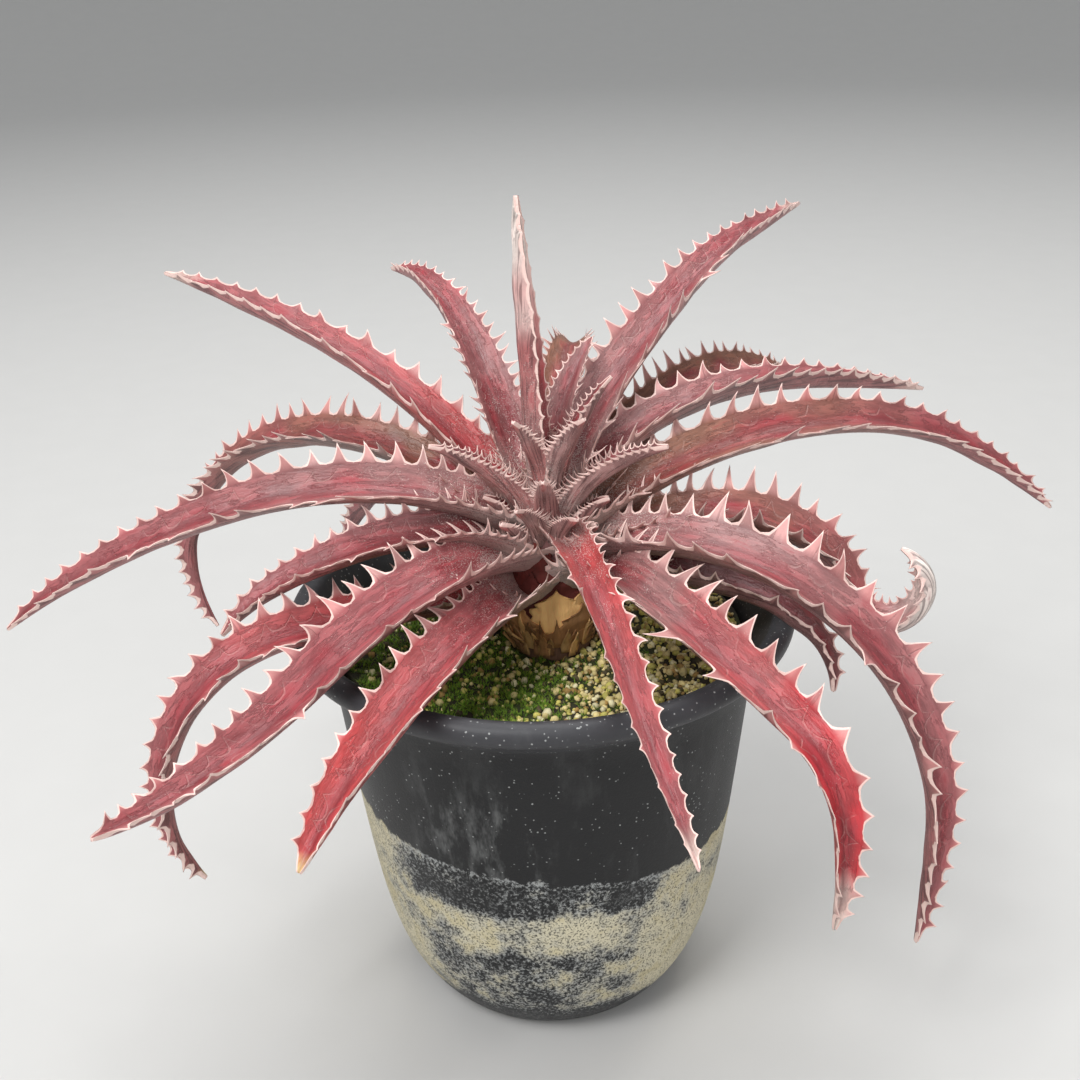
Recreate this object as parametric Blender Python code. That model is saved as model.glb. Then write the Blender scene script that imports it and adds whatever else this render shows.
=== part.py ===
"""A dyckia, a spiny bromeliad with dark red arching leaves, rooted in its round black plastic pot.

The origin is the centre of the pot's underside, on the surface that the pot stands on, with +Z up.
The front of the plant faces -Y. Lengths are in metres, angles in degrees.
"""

import math

import bmesh
import bpy
import numpy as np

MM = 0.001
GAP = 0.3 * MM

# Pot: its rim is a rolled bead on a short flare, and its wall rounds in to a flat base
RIM_DIAMETER = 105 * MM
BEAD_RADIUS = 2.5 * MM
BEAD_HEIGHT = 89.6 * MM
WALL = 1.8 * MM
FLOOR = 2.2 * MM
BASE_RADIUS = 26.5 * MM
DRAIN_RADIUS = 3.2 * MM
DRAIN_COUNT = 4
DRAIN_FROM_CENTRE = 15 * MM
FLARE_BOTTOM = 82 * MM
WALL_TOP_RADIUS = 44.6 * MM
SHOULDER = 9.5 * MM
SHOULDER_RUN = 0.13
FLARE_INSET = 0.6 * MM
POT_SIDES = 44

# Soil: granular mix, a little mounded towards the wall, with grit lying in its top
SOIL_LEVEL = 81 * MM
SOIL_RISE = 2.5 * MM
SOIL_RELIEF = 0.4 * MM
SOIL_SIDES = 40
GRIT_COUNT = 48
GRIT_RADIUS = 1.5 * MM

# Stem: a short thick trunk, off the pot's centre, that carries the leaves
STEM_X = 2 * MM
STEM_RADIUS = 8.4 * MM
STEM_BOTTOM = 60 * MM
STEM_TOP = 115 * MM
STEM_SIDES = 20
STEM_HEIGHTS_MM = (60, 80, 84, 90, 97, 106, 113, 115)
STEM_RADII_MM = (8.4, 8.4, 8.6, 9.4, 8.2, 6.4, 5.2, 4.6)
FOLDS = 5
FOLD_DEPTH = 0.03
FOLD_TWIST = 900
BARE_ABOVE = 81 * MM

# Leaves: thick channelled blades with a row of hooked teeth along both margins
LEAF_THICKNESS = 2.6 * MM
SEAT_WIDTH = 4.2 * MM
SEAT_THICKNESS = 1.9 * MM
WIDEN_OVER = 26 * MM
CHANNEL_DEPTH = 0.2
CHANNEL_SHARE = 0.45
KEEL_SHARE = 0.5
FIRST_RING = 6 * MM
FIRST_TOOTH = 15 * MM
LAST_TOOTH = 3.5 * MM
TOOTH_PITCH = 8.6 * MM
TOOTH_BASE = 3.0 * MM
TOOTH_LENGTH = 5.2 * MM
TOOTH_FULL_FROM = 40 * MM
TOOTH_SWEEP = 1.4 * MM
TOOTH_LIFT = 40
FULL_WIDTH = 12 * MM
TIP_RADIUS = 0.45 * MM
ROLL_RUN = 0.35
HEART_SEAT = 2.4 * MM

# Each leaf: azimuth (0 is +X, 90 is the back), height of its seat on the stem in mm, length in mm,
# width in mm, turn of its azimuth towards the tip, roll that lifts its left margin, how long it keeps
# its width (higher is blunter), and its slope at even steps from seat to tip
LEAVES = (
    (146, 109, 107, 9.5, 0, 0, 1.7, (42, 32, 20, 12, 5)),
    (181, 107, 116, 11.0, 0, -25, 1.7, (35, 5, -15, -25, -40)),
    (154, 100, 132, 10.0, 0, -15, 1.7, (60, 20, -5, -35, -70, -130)),
    (194.7, 102.3, 66, 10.0, 5, -15, 1.7, (45, 5, -10, -20, -50)),
    (203.4, 91.1, 114, 10.5, 0, -15, 1.7, (25, 0, 0, -45, -85, -125)),
    (220, 101.5, 104, 12.5, 20, -10, 1.7, (20, -10, -25, -5, 15)),
    (241, 95.5, 83, 10.5, 0, 0, 4.0, (15, 0, -10, -15, -40)),
    (286, 108, 89, 7.6, -10, 0, 1.3, (10, -15, -25, -10, 0)),
    (308, 98, 106, 11.5, -5, 12, 4.0, (40, -10, -15, -20, -85, -100)),
    (332, 102.5, 134, 11.5, -13, 12, 1.9, (28, 0, -30, -61, -90, -98)),
    (339, 94, 65, 9.0, -20, 0, 1.7, (65, -5, -5, -30, -95)),
    (358, 99.5, 98, 9.5, -15, 15, 4.0, (46, 15, -5, -35, -75, 55, 155)),
    (16, 104.5, 126, 11.0, 0, 25, 1.7, (38, 15, -5, -30, -45)),
    (33.5, 110.3, 111, 9.5, 0, 0, 1.7, (50, 12, -5, -15, -20)),
    (51, 103, 112, 11.0, 0, 20, 1.7, (45, 20, 0, -20, -30)),
    (55, 112.5, 121, 10.5, 0, 0, 1.7, (55, 25, 20, 5, 0)),
    (82, 107, 80, 10.0, 0, 0, 1.7, (60, 35, 15, -25, -55)),
    (170, 115.4, 59, 7.0, 0, 0, 1.7, (90, 90, 85, 90)),
    (121, 112, 71, 9.5, 5, 0, 1.9, (40, 55, 45, 20, -15)),
    (68, 115.4, 38, 6.5, 0, 0, 1.7, (90, 50, 25, 15)),
    (106, 100, 80, 10.0, 0, 0, 1.7, (20, 0, -25, -45, -60)),
    (131, 98, 84, 10.0, 0, 0, 1.7, (35, 5, -15, -45, -65)),
)


def material(name, colour, roughness):
    made = bpy.data.materials.new(name)
    made.use_nodes = True
    shader = made.node_tree.nodes["Principled BSDF"]
    shader.inputs["Base Color"].default_value = (*colour, 1.0)
    shader.inputs["Roughness"].default_value = roughness
    shader.inputs["Metallic"].default_value = 0.0
    return made


def add_object(name, points, faces, finish, smooth_below=40):
    """A mesh object of these points and faces, its faces turned outwards."""
    mesh = bpy.data.meshes.new(name)
    mesh.from_pydata([tuple(p) for p in points], [], [tuple(f) for f in faces])
    mesh.validate()
    body = bmesh.new()
    body.from_mesh(mesh)
    if body.calc_volume(signed=True) < 0:
        bmesh.ops.reverse_faces(body, faces=body.faces)
    body.to_mesh(mesh)
    body.free()
    mesh.shade_smooth()
    mesh.set_sharp_from_angle(angle=math.radians(smooth_below))
    mesh.materials.append(finish)
    obj = bpy.data.objects.new(name, mesh)
    bpy.context.scene.collection.objects.link(obj)
    return obj


def ring_faces(rings, sides):
    """Triangles between each ring of points and the next, cut along the same diagonal."""
    faces = []
    for ring in range(rings - 1):
        for side in range(sides):
            a = ring * sides + side
            b = ring * sides + (side + 1) % sides
            faces.append((a, b, b + sides))
            faces.append((a, b + sides, a + sides))
    return faces


def turned(profile, sides, centre=(0.0, 0.0)):
    """Rings of points: each (radius, height) of the profile turned round an upright axis."""
    angles = np.linspace(0, 2 * math.pi, sides, endpoint=False)
    rings = [
        np.column_stack(
            (
                centre[0] + radius * np.cos(angles),
                centre[1] + radius * np.sin(angles),
                np.full(sides, height),
            )
        )
        for radius, height in profile
    ]
    return np.vstack(rings)


def arc(centre, radius, start, end, steps):
    """(radius, height) points along an arc of the profile, angles from the outward direction."""
    angles = np.radians(np.linspace(start, end, steps))
    return [(centre[0] + radius * math.cos(a), centre[1] + radius * math.sin(a)) for a in angles]


def wall_radius(height):
    """The pot's outer radius: a quick round shoulder at the base, then a gentle taper."""
    rise = np.clip(np.asarray(height) / FLARE_BOTTOM, 0, 1)
    shoulder = SHOULDER * (1 - np.exp(-rise / SHOULDER_RUN))
    taper = (WALL_TOP_RADIUS - BASE_RADIUS - SHOULDER) * rise
    return BASE_RADIUS + shoulder + taper


def make_pot():
    bead_centre = (RIM_DIAMETER / 2 - BEAD_RADIUS, BEAD_HEIGHT)
    heights = [0.0, 3 * MM, 8 * MM, 15 * MM, 28 * MM, 50 * MM, FLARE_BOTTOM]
    outer = [(float(wall_radius(z)), z) for z in heights]
    outer.append((bead_centre[0] - FLARE_INSET, BEAD_HEIGHT - BEAD_RADIUS - 0.2 * MM))
    bead = arc(bead_centre, BEAD_RADIUS, -70, 160, 7)
    inner_heights = [z for z in reversed(heights) if z > FLOOR]
    inner = [(float(wall_radius(z)) - WALL, z) for z in inner_heights]
    inner.append((float(wall_radius(FLOOR)) - WALL, FLOOR))
    profile = outer + bead + inner
    points = np.vstack((turned(profile, POT_SIDES), [(0.0, 0.0, 0.0), (0.0, 0.0, FLOOR)]))
    faces = ring_faces(len(profile), POT_SIDES)
    under = len(profile) * POT_SIDES
    last = under - POT_SIDES
    for side in range(POT_SIDES):
        after = (side + 1) % POT_SIDES
        faces.append((after, side, under))
        faces.append((last + side, last + after, under + 1))
    pot = add_object("pot", points, faces, material("black_plastic", (0.028, 0.029, 0.031), 0.5))
    cut_drains(pot)


def cut_drains(pot):
    """Round drain holes through the pot's floor, evenly spaced round its centre."""
    for index in range(DRAIN_COUNT):
        turn = 2 * math.pi * (index + 0.5) / DRAIN_COUNT
        body = bmesh.new()
        bmesh.ops.create_cone(
            body,
            cap_ends=True,
            segments=10,
            radius1=DRAIN_RADIUS,
            radius2=DRAIN_RADIUS,
            depth=4 * FLOOR,
        )
        mesh = bpy.data.meshes.new("drain_cutter")
        body.to_mesh(mesh)
        body.free()
        cutter = bpy.data.objects.new(f"drain_cutter_{index}", mesh)
        cutter.location = (
            DRAIN_FROM_CENTRE * math.cos(turn),
            DRAIN_FROM_CENTRE * math.sin(turn),
            FLOOR / 2,
        )
        cutter.hide_render = True
        cutter.display_type = "WIRE"
        bpy.context.scene.collection.objects.link(cutter)
        cut = pot.modifiers.new(f"drain_{index}", "BOOLEAN")
        cut.operation = "DIFFERENCE"
        cut.object = cutter


def soil_height(x, y):
    """The soil's top: higher near the wall, with small uneven crumbs from crossed waves."""
    from_stem = np.hypot(x - STEM_X, y) / WALL_TOP_RADIUS
    crumbs = np.sin(x * 900 + 1.3) * np.sin(y * 850 + 0.4) + 0.6 * np.sin(x * 1500 - y * 1300)
    return SOIL_LEVEL + SOIL_RISE * from_stem**2 + SOIL_RELIEF * crumbs


def make_soil():
    hole = STEM_RADIUS + GAP
    top_wall = float(wall_radius(SOIL_LEVEL)) - WALL - GAP
    bottom = FLOOR + GAP
    side_heights = [bottom, 8 * MM, 15 * MM, 28 * MM, 50 * MM, SOIL_LEVEL]
    profile = [(float(wall_radius(z)) - WALL - GAP, z) for z in side_heights]
    points = [turned(profile, SOIL_SIDES)]
    angles = np.linspace(0, 2 * math.pi, SOIL_SIDES, endpoint=False)
    steps = np.linspace(0, 1, 7)
    for step in steps:
        radius = top_wall - 0.4 * MM + (hole - top_wall + 0.4 * MM) * step
        x = STEM_X * step + radius * np.cos(angles)
        y = radius * np.sin(angles)
        points.append(np.column_stack((x, y, soil_height(x, y))))
    points.append(turned([(hole, STEM_BOTTOM - GAP)], SOIL_SIDES, (STEM_X, 0.0)))
    rings = len(profile) + len(steps) + 1
    middle_low = rings * SOIL_SIDES
    points.append(np.array([(STEM_X, 0.0, STEM_BOTTOM - GAP), (0.0, 0.0, bottom)]))
    faces = ring_faces(rings, SOIL_SIDES)
    last = (rings - 1) * SOIL_SIDES
    for side in range(SOIL_SIDES):
        after = (side + 1) % SOIL_SIDES
        faces.append((last + side, last + after, middle_low))
        faces.append((after, side, middle_low + 1))
    finish = material("potting_mix", (0.07, 0.075, 0.03), 0.95)
    soil = add_object("soil", np.vstack(points), faces, finish, smooth_below=25)
    add_grit(soil, hole, top_wall)
    return soil


def add_grit(soil, hole, top_wall):
    """Small faceted stones sunk in the soil's top and made one body with it."""
    stones = bpy.data.collections.new("grit")
    draws = np.random.default_rng(7)
    turn = math.pi * (3 - math.sqrt(5))
    for index in range(GRIT_COUNT):
        share = (index + 0.5) / GRIT_COUNT
        radius = math.sqrt(hole**2 + share * (top_wall**2 - hole**2))
        radius = min(max(radius, hole + 2.6 * MM), top_wall - 2.6 * MM)
        size = GRIT_RADIUS * draws.uniform(0.7, 1.15)
        x = STEM_X * (1 - radius / top_wall) + radius * math.cos(index * turn)
        y = radius * math.sin(index * turn)
        body = bmesh.new()
        bmesh.ops.create_icosphere(body, subdivisions=1, radius=size)
        mesh = bpy.data.meshes.new("stone")
        body.to_mesh(mesh)
        body.free()
        stone = bpy.data.objects.new(f"stone_{index:02d}", mesh)
        stone.location = (x, y, float(soil_height(x, y)) - 0.05 * size)
        stone.rotation_euler = draws.uniform(0, math.pi, 3)
        stones.objects.link(stone)
    bpy.context.scene.collection.children.link(stones)
    union = soil.modifiers.new("grit", "BOOLEAN")
    union.operation = "UNION"
    union.operand_type = "COLLECTION"
    union.collection = stones
    union.solver = "MANIFOLD"
    bpy.context.view_layer.update()
    graph = bpy.context.evaluated_depsgraph_get()
    joined = bpy.data.meshes.new_from_object(soil.evaluated_get(graph))
    soil.modifiers.clear()
    soil.data = joined
    for stone in list(stones.objects):
        bpy.data.objects.remove(stone, do_unlink=True)
    bpy.data.collections.remove(stones)


def stem_radius(height):
    """The trunk's radius: even in the soil, flared by old leaf bases, then narrowing to the crown."""
    return float(np.interp(height / MM, STEM_HEIGHTS_MM, STEM_RADII_MM)) * MM


def make_stem():
    heights = [STEM_BOTTOM, 80 * MM, 84 * MM, 87 * MM, 90 * MM, 93 * MM, 97 * MM, 102 * MM]
    heights += [106 * MM, 110 * MM, 113 * MM, STEM_TOP]
    angles = np.linspace(0, 2 * math.pi, STEM_SIDES, endpoint=False)
    rings = []
    for height in heights:
        fold = FOLD_DEPTH * (np.sin(angles * FOLDS + height * FOLD_TWIST) - 1) * (height > BARE_ABOVE)
        radius = stem_radius(height) * (1 + fold)
        x = STEM_X + radius * np.cos(angles)
        rings.append(np.column_stack((x, radius * np.sin(angles), np.full(STEM_SIDES, height))))
    rings.append(np.array([(STEM_X, 0.0, STEM_BOTTOM), (STEM_X, 0.0, STEM_TOP)]))
    faces = ring_faces(len(heights), STEM_SIDES)
    low = len(heights) * STEM_SIDES
    last = low - STEM_SIDES
    for side in range(STEM_SIDES):
        after = (side + 1) % STEM_SIDES
        faces.append((after, side, low))
        faces.append((last + side, last + after, low + 1))
    return add_object("stem", np.vstack(rings), faces, material("stem_bark", (0.16, 0.08, 0.04), 0.85))


def leaf_frame(azimuth, seat, length, sweep, roll, slopes, along):
    """Places and axes along a leaf: tangent, upper side and left side, where the slope changes evenly."""
    steps = np.linspace(0, 1, 121)
    slope = np.radians(np.interp(steps, np.linspace(0, 1, len(slopes)), slopes))
    bearing = np.radians(azimuth + sweep * steps**2)
    tangent = np.column_stack(
        (np.cos(slope) * np.cos(bearing), np.cos(slope) * np.sin(bearing), np.sin(slope))
    )
    moves = (tangent[1:] + tangent[:-1]) / 2 * length / (len(steps) - 1)
    path = np.vstack((np.zeros(3), np.cumsum(moves, axis=0))) + np.array(seat)
    normal = np.column_stack(
        (-np.sin(slope) * np.cos(bearing), -np.sin(slope) * np.sin(bearing), np.cos(slope))
    )
    level = np.column_stack((-np.sin(bearing), np.cos(bearing), np.zeros(len(steps))))
    turn = np.radians(roll) * np.clip(steps / ROLL_RUN, 0, 1)[:, None]
    left = level * np.cos(turn) + normal * np.sin(turn)
    upper = normal * np.cos(turn) - level * np.sin(turn)
    return [
        np.column_stack([np.interp(along, steps, axis[:, k]) for k in range(3)])
        for axis in (path, tangent, upper, left)
    ]


def leaf_half_width(along, length, width, fullness):
    """Half the blade's width: narrow at the seat, full after a short run, then a long taper."""
    run = np.clip(along * length / WIDEN_OVER, 0, 1)
    grown = SEAT_WIDTH + (width - SEAT_WIDTH) * run**1.3
    taper = np.clip(1 - along**fullness, 0, 1) ** 0.8
    return grown * taper / 2 + TIP_RADIUS * along


def leaf_stations(length):
    """Stations along the leaf, 0 to 1, and which of them is the middle of a tooth."""
    first, last = FIRST_TOOTH / length, 1 - LAST_TOOTH / length
    count = max(3, round((last - first) * length / TOOTH_PITCH))
    half = TOOTH_BASE / 2 / length
    along = [0.0, FIRST_RING / length]
    tooth = [False, False]
    for middle in np.linspace(first, last, count):
        along += [middle - half, middle, middle + half]
        tooth += [False, True, False]
    return np.array(along + [1.0]), np.array(tooth + [False])


def tooth_reach(along, length, width):
    """How far a tooth stands out: short near the seat and the tip, and less on a narrow leaf."""
    grown = np.clip((along * length - FIRST_TOOTH) / (TOOTH_FULL_FROM - FIRST_TOOTH), 0, 1)
    fade = np.clip(1.35 * (1 - along), 0.35, 1)
    return TOOTH_LENGTH * (0.45 + 0.55 * grown) * fade * min(1, width / FULL_WIDTH)


def make_leaf(number, row, finish):
    azimuth, seat_height, length, width, sweep, roll, fullness, slopes = row
    length, width, seat_height = length * MM, width * MM, seat_height * MM
    along, tooth = leaf_stations(length)
    half = leaf_half_width(along, length, width, fullness)
    ramp = np.clip(along * length / WIDEN_OVER, 0, 1)
    thick = SEAT_THICKNESS + (LEAF_THICKNESS - SEAT_THICKNESS) * ramp
    thick = np.minimum(thick, half * 0.9 + 0.5 * MM)
    edge_rise = 2 * half * CHANNEL_DEPTH * ramp
    out = HEART_SEAT if seat_height > STEM_TOP else stem_radius(seat_height) + GAP
    turn = math.radians(azimuth)
    seat = (STEM_X + out * math.cos(turn), out * math.sin(turn), seat_height)
    path, tangent, upper, left = leaf_frame(azimuth, seat, length, sweep, roll, slopes, along)
    reach = np.where(tooth, tooth_reach(along, length, width), 0)
    lift = math.radians(TOOTH_LIFT)
    outward = half + reach * math.cos(lift)
    rise = edge_rise + reach * math.sin(lift)
    forward = np.where(tooth, TOOTH_SWEEP, 0)
    margins = [
        path + left * (side * outward)[:, None] + upper * rise[:, None] + tangent * forward[:, None]
        for side in (1, -1)
    ]
    channel = [path + left * (side * CHANNEL_SHARE * half)[:, None] for side in (1, -1)]
    keel = [
        path + left * (side * KEEL_SHARE * half)[:, None] - upper * thick[:, None]
        for side in (-1, 1)
    ]
    ring = np.stack((margins[0], *channel, margins[1], *keel), axis=1)
    count, sides = ring.shape[:2]
    faces = ring_faces(count, sides)
    ends = np.vstack((ring[0].mean(axis=0), ring[-1].mean(axis=0) + tangent[-1] * TIP_RADIUS))
    near, far = count * sides, count * sides + 1
    for side in range(sides):
        after = (side + 1) % sides
        faces.append((after, side, near))
        faces.append(((count - 1) * sides + side, (count - 1) * sides + after, far))
    points = np.vstack((ring.reshape(-1, 3), ends))
    return add_object(f"leaf_{number:02d}", points, faces, finish, smooth_below=30)


def main():
    for old in list(bpy.data.objects):
        bpy.data.objects.remove(old, do_unlink=True)
    make_pot()
    make_soil()
    make_stem()
    finish = material("leaf_red", (0.28, 0.075, 0.08), 0.45)
    for number, row in enumerate(LEAVES, start=1):
        make_leaf(number, row, finish)


main()
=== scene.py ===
"""Looks for a potted dyckia: toothed leaves, stem, soil with moss and grit, and a weathered black pot.

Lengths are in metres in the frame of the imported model, with +Z up and the plant's front facing -Y.
"""

import math  # noqa: E402

import bpy  # noqa: E402
import numpy as np  # noqa: E402
from bpy.props import FloatProperty, FloatVectorProperty, IntProperty, PointerProperty  # noqa: E402
from mathutils import Matrix, Vector  # noqa: E402


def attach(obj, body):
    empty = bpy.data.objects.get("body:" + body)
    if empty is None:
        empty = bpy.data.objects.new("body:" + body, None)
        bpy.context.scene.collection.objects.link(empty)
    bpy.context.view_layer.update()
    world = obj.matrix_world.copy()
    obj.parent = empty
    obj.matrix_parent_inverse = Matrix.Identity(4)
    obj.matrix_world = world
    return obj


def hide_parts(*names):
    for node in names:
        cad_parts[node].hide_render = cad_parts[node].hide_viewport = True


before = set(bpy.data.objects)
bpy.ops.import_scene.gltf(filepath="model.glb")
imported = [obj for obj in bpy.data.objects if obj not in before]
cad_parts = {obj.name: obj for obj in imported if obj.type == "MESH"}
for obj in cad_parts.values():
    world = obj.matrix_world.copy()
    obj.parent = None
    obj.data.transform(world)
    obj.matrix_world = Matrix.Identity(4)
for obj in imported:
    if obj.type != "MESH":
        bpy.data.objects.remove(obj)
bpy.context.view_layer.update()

bl_info = {
    "name": "Potted Dyckia",
    "version": (1, 0, 0),
    "blender": (4, 5, 0),
    "location": "View3D > Sidebar > Dyckia",
    "description": "Dresses the frame of a potted dyckia with leaves, stem, soil, moss, grit and pot",
    "category": "Object",
}

MM = 0.001

# Outlines of the stem and the pot, as in the frame
STEM_X = 2 * MM
STEM_TOP = 115 * MM
STEM_BOTTOM = 60 * MM
STEM_HEIGHTS = (60, 80, 84, 90, 97, 106, 113, 115)
STEM_RADII = (8.4, 8.4, 8.6, 9.4, 8.2, 6.4, 5.2, 4.6)
STEM_SIDES = 90
FLARE_BOTTOM = 82 * MM
BASE_RADIUS = 26.5 * MM
FOOT_ROUNDING = (0.5 * MM, 0.1 * MM)
SHOULDER = 9.5 * MM
SHOULDER_RUN = 0.13
WALL_TOP_RADIUS = 44.6 * MM
WALL = 1.8 * MM
BEAD_HEIGHT = 89.6 * MM
BEAD_RADIUS = 2.5 * MM
FLOOR = 2.2 * MM
POT_SIDES = 160
DRAIN_RADIUS = 3.2 * MM
DRAIN_FROM_CENTRE = 15 * MM
DRAIN_COUNT = 4
SOIL_TOP = 81 * MM
SOIL_FROM_OUTSIDE = 2.1 * MM
SOIL_HOLE = 8.7 * MM
SOIL_SIDES = 180

# Tints of the leaves, linear
TINTS = {
    "mauve": (0.310, 0.145, 0.140),
    "rose": (0.330, 0.095, 0.100),
    "red": (0.460, 0.032, 0.040),
    "ember": (0.410, 0.052, 0.052),
    "olive": (0.250, 0.110, 0.070),
    "plum": (0.180, 0.065, 0.065),
}
# Dry end of a leaf: its tint and its length in mm
TIPS = {
    "plain": ((0.420, 0.150, 0.140), 3),
    "dry": ((0.640, 0.500, 0.440), 10),
    "straw": ((0.640, 0.480, 0.220), 3),
    "white": ((0.800, 0.740, 0.660), 12),
    "faded": ((0.840, 0.760, 0.700), 27),
}

# Each leaf, as in the frame: azimuth, seat height, length and width in mm, turn to the tip, roll, fullness,
# slopes, tint at the base and beyond, kind of tip, tooth pitch and length in mm, and forward lean
LEAVES = (
    (146, 109, 107, 9.5, 0, 0, 1.7, (42, 32, 20, 12, 5), "ember", "rose", "dry", 6.6, 3.2, 0.3),
    (181, 107, 116, 11.0, 0, -25, 1.7, (35, 5, -15, -25, -40), "mauve", "rose", "plain", 5.4, 4.6, 0.25),
    (154, 100, 132, 10.0, 0, -15, 1.7, (60, 20, -5, -35, -70, -130), "olive", "rose", "plain", 4.2, 4.8, 0.1),
    (194.7, 102.3, 66, 10.0, 5, -15, 1.7, (45, 5, -10, -20, -50), "plum", "rose", "plain", 4.0, 4.4, 0.1),
    (203.4, 91.1, 114, 10.5, 0, -15, 1.7, (25, 0, 0, -45, -85, -125), "ember", "rose", "straw", 4.8, 4.6, 0.2),
    (220, 101.5, 104, 12.5, 20, -10, 1.7, (20, -10, -25, -5, 15), "rose", "rose", "plain", 5.6, 5.2, 0.15),
    (241, 95.5, 83, 10.5, 0, 0, 3.6, (15, 0, -10, -15, -40), "rose", "ember", "straw", 5.4, 4.8, 0.1),
    (286, 108, 89, 7.6, -10, 0, 1.3, (10, -15, -25, -10, 0), "ember", "rose", "dry", 5.2, 2.4, 0.5),
    (308, 98, 106, 10.2, -5, 12, 2.0, (40, -10, -15, -20, -85, -100), "mauve", "red", "white", 6.6, 6.2, 0.0),
    (332, 102.5, 134, 11.5, -13, 12, 1.9, (28, 0, -30, -61, -90, -98), "mauve", "rose", "plain", 6.2, 5.8, 0),
    (339, 94, 65, 9.0, -20, 0, 1.7, (65, -5, -5, -30, -95), "plum", "plum", "plain", 4.2, 4.6, 0.1),
    (358, 99.5, 98, 9.5, -15, 15, 4, (46, 15, -5, -35, -75, 55, 155), "olive", "rose", "faded", 4, 5.2, 0.1),
    (16, 104.5, 126, 11.0, 0, 25, 1.7, (38, 15, -5, -30, -45), "olive", "rose", "plain", 5.6, 4.4, 0.3),
    (33.5, 110.3, 111, 9.5, 0, 0, 1.7, (50, 12, -5, -15, -20), "mauve", "rose", "dry", 5.8, 3.8, 0.3),
    (51, 103, 112, 11.0, 0, 20, 1.7, (45, 20, 0, -20, -30), "olive", "olive", "plain", 4.4, 4.8, 0.0),
    (55, 112.5, 121, 10.5, 0, 0, 1.7, (55, 25, 20, 5, 0), "mauve", "rose", "dry", 6.2, 4.4, 0.25),
    (82, 107, 80, 10.0, 0, 0, 1.7, (60, 35, 15, -25, -55), "olive", "olive", "plain", 3.2, 4.6, 0.0),
    (170, 115.4, 59, 7.0, 0, 0, 1.7, (90, 90, 85, 90), "rose", "red", "faded", 5.4, 1.2, 0.3),
    (121, 112, 71, 9.5, 5, 0, 1.9, (40, 55, 45, 20, -15), "mauve", "rose", "plain", 3.2, 4.0, 0.15),
    (68, 115.4, 38, 6.5, 0, 0, 1.7, (90, 50, 25, 15), "mauve", "mauve", "plain", 3.4, 2.4, 0.3),
    (106, 100, 80, 10.0, 0, 0, 1.7, (20, 0, -25, -45, -60), "olive", "rose", "plain", 4.6, 4.6, 0.2),
    (131, 98, 84, 10.0, 0, 0, 1.7, (35, 5, -15, -45, -65), "mauve", "rose", "plain", 4.6, 4.6, 0.2),
)
# Small leaves in the heart: azimuth, seat height, length and width in mm, slopes, tint at the base, and tooth
# pitch and length in mm
HEART_ROWS = (
    (300, 115.4, 24, 6.0, (80, 58, 35), "mauve", 2.3, 3.0),
    (240, 115.4, 22, 5.6, (82, 62, 40), "red", 2.3, 2.8),
    (200, 112.0, 26, 7.0, (65, 42, 20), "red", 2.3, 3.2),
    (335, 112.0, 27, 7.0, (65, 38, 15), "mauve", 2.3, 3.2),
    (10, 115.4, 26, 6.0, (82, 64, 45), "red", 2.3, 3.0),
    (120, 115.4, 24, 6.0, (85, 72, 60), "rose", 2.3, 3.0),
    (266, 111.0, 15, 5.4, (76, 56, 34), "red", 1.8, 2.8),
    (315, 102.0, 12, 6.6, (78, 58, 36), "mauve", 1.8, 2.8),
    (225, 103.0, 12, 6.6, (78, 58, 34), "mauve", 1.8, 2.8),
    (290, 106.0, 14, 5.6, (66, 44, 24), "mauve", 1.8, 2.6),
    (247, 107.0, 15, 5.6, (68, 46, 26), "mauve", 1.8, 2.6),
    (338, 106.0, 12, 6.4, (78, 56, 30), "red", 1.8, 2.8),
    (190, 106.0, 12, 6.4, (78, 56, 30), "red", 1.8, 2.8),
)
HEART_LEAVES = [(*row[:4], 0, 0, 0.9, *row[4:6], "plum", "plain", *row[6:], 0.0) for row in HEART_ROWS]
HEART_SEED = 100

# Where a leaf's points lie: phases along a tooth, shares of the half width across the blade and shares of a
# tooth's height, then the rows before the first tooth and those to the tip, in mm
TOOTH_PHASES = (-0.5, -0.38, -0.27, -0.18, -0.11, -0.05, 0.0, 0.05, 0.11, 0.18, 0.27, 0.38)
BLADE_SHARES = (0.93, 0.76, 0.5, 0.23)
TOOTH_SHARES = (1.0, 0.82, 0.58, 0.3, 0.0)
ROWS_BEFORE = (-6.0, -4.0, -2.0, 0.0, 1.2)
ROWS_TO_TIP = (2.5, 1.7, 1.0, 0.45, 0.12)

# Lengths and shares that shape every leaf
CROWN_RADIUS = 2.2 * MM
AXIS_STEPS = 241
ROLL_RUN = 0.35
LONG_LEAF = 60 * MM
TIP_HALF_WIDTH = 0.25 * MM
BARE_MARGIN = 0.2 * MM
WAVE_CELL = 6 * MM
PRINTED_WIDTH = 9 * MM
NO_PRINT = 9
ROSY_TOOTH = (0.58, 0.22, 0.21)
ASHEN_TOOTH = (0.72, 0.50, 0.46)

# Grit: name, the amount that it takes, sizes mm and the share of its size that stands above its place
GRIT = (("grit", "stones", (0.55, 1.15), 0.3), ("crumbs", "crumbs", (0.3, 0.7), 0.2))
GRIT_TINTS = ((0.60, 0.54, 0.14), (0.42, 0.26, 0.08), (0.85, 0.78, 0.48), (0.09, 0.07, 0.03))
GRIT_ODDS = (0.34, 0.26, 0.16, 0.12, 0.12)
GRIT_STRETCH = (0.6, 1.0)
GRIT_KNOBS = 0.24
SPIKES_PER_SPRIG = 7

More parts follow.
